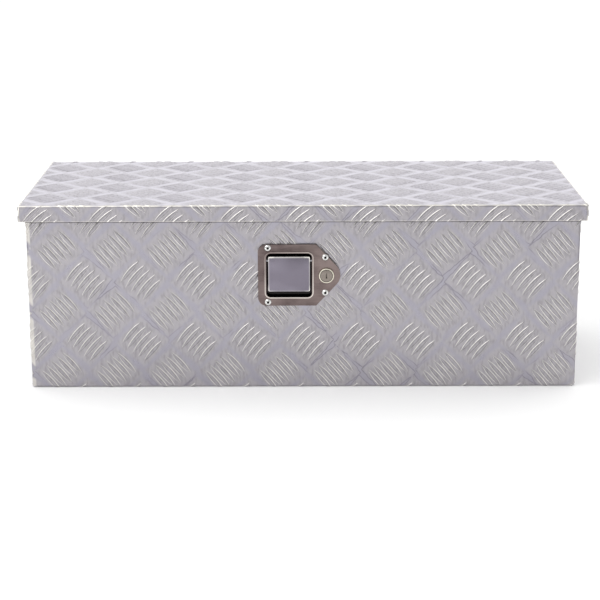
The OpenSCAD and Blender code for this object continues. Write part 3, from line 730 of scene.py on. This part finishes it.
# Clusters of five bars on a diamond lattice; lean is the bars' angle to the lattice's first axis
def addClusters(bm, area, pattern, origin):
    (x0, x1), (y0, y1) = area
    pitch, shift = pattern["pitch"], pattern["shift"]
    reach = tread["barLength"] / 2
    for family in (0, 1):
        ox = origin[0] + family * shift[0]
        oy = origin[1] + family * shift[1]
        angle = -pattern["lean"] if family else pattern["lean"]
        firstI, lastI = math.floor((x0 - ox) / pitch[0]) - 1, math.ceil((x1 - ox) / pitch[0]) + 1
        firstJ, lastJ = math.floor((y0 - oy) / pitch[1]) - 1, math.ceil((y1 - oy) / pitch[1]) + 1
        for i in range(firstI, lastI + 1):
            for j in range(firstJ, lastJ + 1):
                for k in (-2, -1, 0, 1, 2):
                    x = ox + i * pitch[0] - math.sin(angle) * k * tread["barPitch"]
                    y = oy + j * pitch[1] + math.cos(angle) * k * tread["barPitch"]
                    if x0 - reach < x < x1 + reach and y0 - reach < y < y1 + reach:
                        length = tread["barLength"] * (tread["outerShorten"] if abs(k) == 2 else 1)
                        addBar(bm, x, y, angle, length)


# Divides the faces that cross a line; with drop, everything on that side of it goes
def cutAt(bm, axis, place, drop=0):
    normal = Vector((0, 0, 0))
    normal[axis] = 1
    near = []
    for face in bm.faces:
        reach = [v.co[axis] - place for v in face.verts]
        if min(reach) < 0 < max(reach):
            near.append(face)
    edges = once(e for face in near for e in face.edges)
    verts = once(v for face in near for v in face.verts)
    bmesh.ops.bisect_plane(bm, geom=near + edges + verts, plane_co=normal * place, plane_no=normal)
    if drop:
        beyond = [v for v in bm.verts if (v.co[axis] - place) * drop > build["onLine"]]
        bmesh.ops.delete(bm, geom=beyond, context="VERTS")


def closeCuts(bm):
    cutEdges = [e for e in bm.edges if e.is_boundary]
    bmesh.ops.holes_fill(bm, edges=cutEdges, sides=0)


# Bars on a flat blank: trimmed to the blank, divided along the folds, and cleared from the holes
def blankBars(area, pattern, origin, folds, holes):
    bm = bmesh.new()
    bm.loops.layers.uv.new("blank")
    bm.loops.layers.uv.new("bar")
    addClusters(bm, area, pattern, origin)
    bmesh.ops.remove_doubles(bm, verts=bm.verts, dist=build["barWeld"])
    for axis in (0, 1):
        cutAt(bm, axis, area[axis][0], -1)
        cutAt(bm, axis, area[axis][1], 1)
    for axis, start, way in folds:
        for k in range(tread["foldSteps"] + 1):
            cutAt(bm, axis, start + way * arcLength * k / tread["foldSteps"])
    for (hx0, hx1), (hy0, hy1) in holes:
        for axis, place in ((0, hx0), (0, hx1), (1, hy0), (1, hy1)):
            cutAt(bm, axis, place)
        centres = {f: f.calc_center_median() for f in bm.faces}
        inside = [f for f, c in centres.items() if hx0 < c.x < hx1 and hy0 < c.y < hy1]
        bmesh.ops.delete(bm, geom=inside, context="FACES")
    closeCuts(bm)
    return bm


# How far along and how far out a point comes to lie when it is s past the start of a fold
def pastFold(s, height):
    turn = s / skinRadius
    radius = skinRadius + height
    if turn < math.pi / 2:
        return radius * math.sin(turn), radius * math.cos(turn) - skinRadius
    return radius, arcLength - s - skinRadius


def foldBlank(bm, folds):
    for v in bm.verts:
        for axis, edge, way in folds:
            past = (v.co[axis] - edge) * way
            if past > 0:
                out, height = pastFold(past, v.co.z)
                v.co[axis] = edge + way * out
                v.co.z = height
                break


# Sides of the object: where a blank's along, up and out directions point
facing = {
    "front": ((1, 0, 0), (0, 0, 1), (0, -1, 0)),
    "back": ((-1, 0, 0), (0, 0, 1), (0, 1, 0)),
    "left": ((0, -1, 0), (0, 0, 1), (-1, 0, 0)),
    "right": ((0, 1, 0), (0, 0, 1), (1, 0, 0)),
    "top": ((1, 0, 0), (0, 1, 0), (0, 0, 1)),
    "under": ((1, 0, 0), (0, -1, 0), (0, 0, -1)),
}


# One sheet's bars: area is their part of the blank, reach how far out the sheet's face lies
def treadPiece(name, body, side, reach, area, pattern, origin, foldsX=(), foldsY=(), holes=()):
    offset = [kept - here for kept, here in zip(pattern["origin"], origin)]
    folds = [(axis, edge, way) for axis, pair in ((0, foldsX), (1, foldsY))
             for edge, way in zip(pair, (-1, 1))]
    bm = blankBars(area, pattern, origin, folds, holes)
    blank = bm.loops.layers.uv["blank"]
    for face in bm.faces:
        for loop in face.loops:
            loop[blank].uv = (loop.vert.co.x + offset[0], loop.vert.co.y + offset[1])
    foldBlank(bm, folds)
    along, up, out = (Vector(axis) for axis in facing[side])
    turn = Matrix((along, up, out)).transposed().to_4x4()
    bmesh.ops.transform(bm, matrix=Matrix.Translation(out * (reach - tread["rise"])) @ turn, verts=bm.verts)
    piece = linkPiece(name, bm, body, lidSheet if body == "lid" else "tread_sheet")
    smoothUnder(piece.data, build["barCrease"])


# lid: top sheet with its four lips; three blanks, so that the corners stay notched
lipLength = lidHigh.z - lidLow.z - tread["foldRadius"]
outX, outY = lidFlatX + arcLength + lipLength, lidFlatY + arcLength + lipLength
treadPiece("lid_tread_top", "lid", "top", lidHigh.z, ((-lidFlatX, lidFlatX), (-outY, outY)),
           lidPattern, lidPattern["origin"], foldsY=(-lidFlatY, lidFlatY))
for name, span in (("lid_tread_left", (-outX, -lidFlatX)), ("lid_tread_right", (lidFlatX, outX))):
    treadPiece(name, "lid", "top", lidHigh.z, (span, (-lidFlatY, lidFlatY)),
               lidPattern, lidPattern["origin"], foldsX=(-lidFlatX, lidFlatX))
print("lid tread rolled")


# body: front, ends with their returns, back and underside
flatLow, flatHigh = tread["foldRadius"], wrapHigh.z - tread["foldRadius"]
underStart = flatLow - arcLength + tread["foldRadius"]
footEnd = underStart - bodyPattern["footWidth"]
rearFootEnd = underStart - bodyPattern["rearFootWidth"]
returnEnd = bodyFlatY + arcLength + bodyPattern["returnWidth"] - tread["foldRadius"]
originX, originZ = bodyPattern["origin"]
holeX, holeZ = (size / 2 for size in bodyPattern["recess"])
latchHole = ((recessX - holeX, recessX + holeX), (recessZ - holeZ, recessZ + holeZ))
treadPiece("front_tread", "box", "front", wallY, ((-bodyFlatX, bodyFlatX), (footEnd, flatHigh)),
           bodyPattern, (originX, originZ), foldsY=(flatLow, noFold), holes=[latchHole])
treadPiece("right_tread", "box", "right", wallX, ((-bodyFlatY - arcLength, returnEnd), (flatLow, flatHigh)),
           bodyPattern, (originX - cornerRun, originZ), foldsX=(-bodyFlatY, bodyFlatY))
treadPiece("left_tread", "box", "left", wallX, ((-returnEnd, bodyFlatY + arcLength), (flatLow, flatHigh)),
           bodyPattern, (originX + cornerRun, originZ), foldsX=(-bodyFlatY, bodyFlatY))
treadPiece("back_tread", "box", "back", wallY, ((rearLow.x, rearHigh.x), (rearFootEnd, flatHigh)),
           bodyPattern, (originX + bodyPattern["backShift"], originZ), foldsY=(flatLow, noFold))
treadPiece("under_tread", "box", "under", 0, ((floorLow.x, floorHigh.x), (floorLow.y, floorHigh.y)),
           bodyPattern, (originX, bodyPattern["underOrigin"]))
print("body tread rolled")


# pressed and turned parts with their sharp edges rolled over
rolled = {
    "sharpAbove": math.radians(50),
    "crease": 35,              # degrees
    "latchSteps": 3,           # flat steps round an edge
    "plateSteps": 2,
    "dish": 0.55 * mm,
    "paddle": 0.5 * mm,
    "lockBody": 0.5 * mm,
    "lockPlug": 0.25 * mm,
    "handlePlate": 0.4 * mm,
    "strutBracket": 0.3 * mm,
    "striker": 0.35 * mm,
}


def softened(node, body, slot, width, segments=rolled["latchSteps"]):
    bm = copyOfNode(node)
    bmesh.ops.dissolve_limit(bm, angle_limit=build["flatWithin"], verts=bm.verts, edges=bm.edges)
    sharp = [e for e in bm.edges
             if len(e.link_faces) == 2 and e.calc_face_angle(0) > rolled["sharpAbove"]]
    bmesh.ops.bevel(bm, geom=sharp, offset=width, offset_type="OFFSET", affect="EDGES", segments=segments,
                    profile=0.5, material=-1, clamp_overlap=True)
    piece = linkPiece(node + "_soft", bm, body, slot)
    smoothUnder(piece.data, rolled["crease"])
    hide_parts(node)


softened("latch_dish", "box", "latch_stainless", rolled["dish"])
softened("paddle", "paddle", "paddle_stainless", rolled["paddle"])
softened("lock_body", "box", "lock_metal", rolled["lockBody"])
softened("lock_plug", "lock", "lock_metal", rolled["lockPlug"])
for side in ("left", "right"):
    softened("handle_plate_" + side, "box", "handle_steel", rolled["handlePlate"], rolled["plateSteps"])
    for part, body in (("body_bracket_", "box"), ("lid_bracket_", "lid")):
        softened(part + side, body, "plated_steel", rolled["strutBracket"], rolled["plateSteps"])
softened("striker_bracket", "lid", "plated_steel", rolled["striker"], rolled["plateSteps"])
print("edges rolled")


# stage and light
stage = {
    "halfSize": 40,
    "glow": 0.12,              # keeps the floor's own shadow faint
    "paint": ((0.86, 0.86, 0.86), (0.9, 0.9, 0.9)),
    "roomFront": 0.60,         # brightness of the room towards the front and the back
    "roomBack": 1.40,
    "roomBlend": (-0.6, 0.35),
    "lampPlace": (-1.5, -1.3, 2.0),
    "lampTarget": (0, 0, 0.1),
    "lampSize": (2.6, 1.6),
    "lampPower": 27,
}


def makeFloor():
    bm = bmesh.new()
    bmesh.ops.create_grid(bm, x_segments=1, y_segments=1, size=stage["halfSize"])
    mesh = bpy.data.meshes.new("floor")
    bm.to_mesh(mesh)
    bm.free()
    floor = bpy.data.objects.new("floor", mesh)
    bpy.context.scene.collection.objects.link(floor)
    f = Finish("paleFloor")
    paint = f.tint(f.noise(3.0, 2.0), *stage["paint"])
    mesh.materials.append(f.finish(color=paint, rough=0.9, specular=0.1, glow=(1, 1, 1),
                                   glowStrength=stage["glow"]))


# Soft white all round, dimmer towards the front so that upright faces stay darker than the lid
def makeRoom():
    world = bpy.data.worlds.new("world")
    world.use_nodes = True
    room = NodeSet(world.node_tree)
    _, depth, _ = room.axes(room.node("TexCoord", output="Generated"))
    low, high = stage["roomBlend"]
    light = room.node("MapRange", {}, {"Value": depth, "From Min": low, "From Max": high,
                                       "To Min": stage["roomFront"], "To Max": stage["roomBack"]})
    background = world.node_tree.nodes["Background"]
    room.plug(background.inputs["Strength"], light)
    room.plug(background.inputs["Color"], (1, 1, 1))
    bpy.context.scene.world = world
    bpy.context.scene.view_settings.view_transform = "Standard"


def makeLamp():
    data = bpy.data.lights.new("overhead", "AREA")
    data.shape = "RECTANGLE"
    data.size, data.size_y = stage["lampSize"]
    data.energy = stage["lampPower"]
    lamp = bpy.data.objects.new("overhead", data)
    bpy.context.scene.collection.objects.link(lamp)
    place = Vector(stage["lampPlace"])
    lamp.location = place
    lamp.rotation_euler = (Vector(stage["lampTarget"]) - place).to_track_quat("-Z", "Y").to_euler()


makeFloor()
makeRoom()
makeLamp()
print("stage and light set")
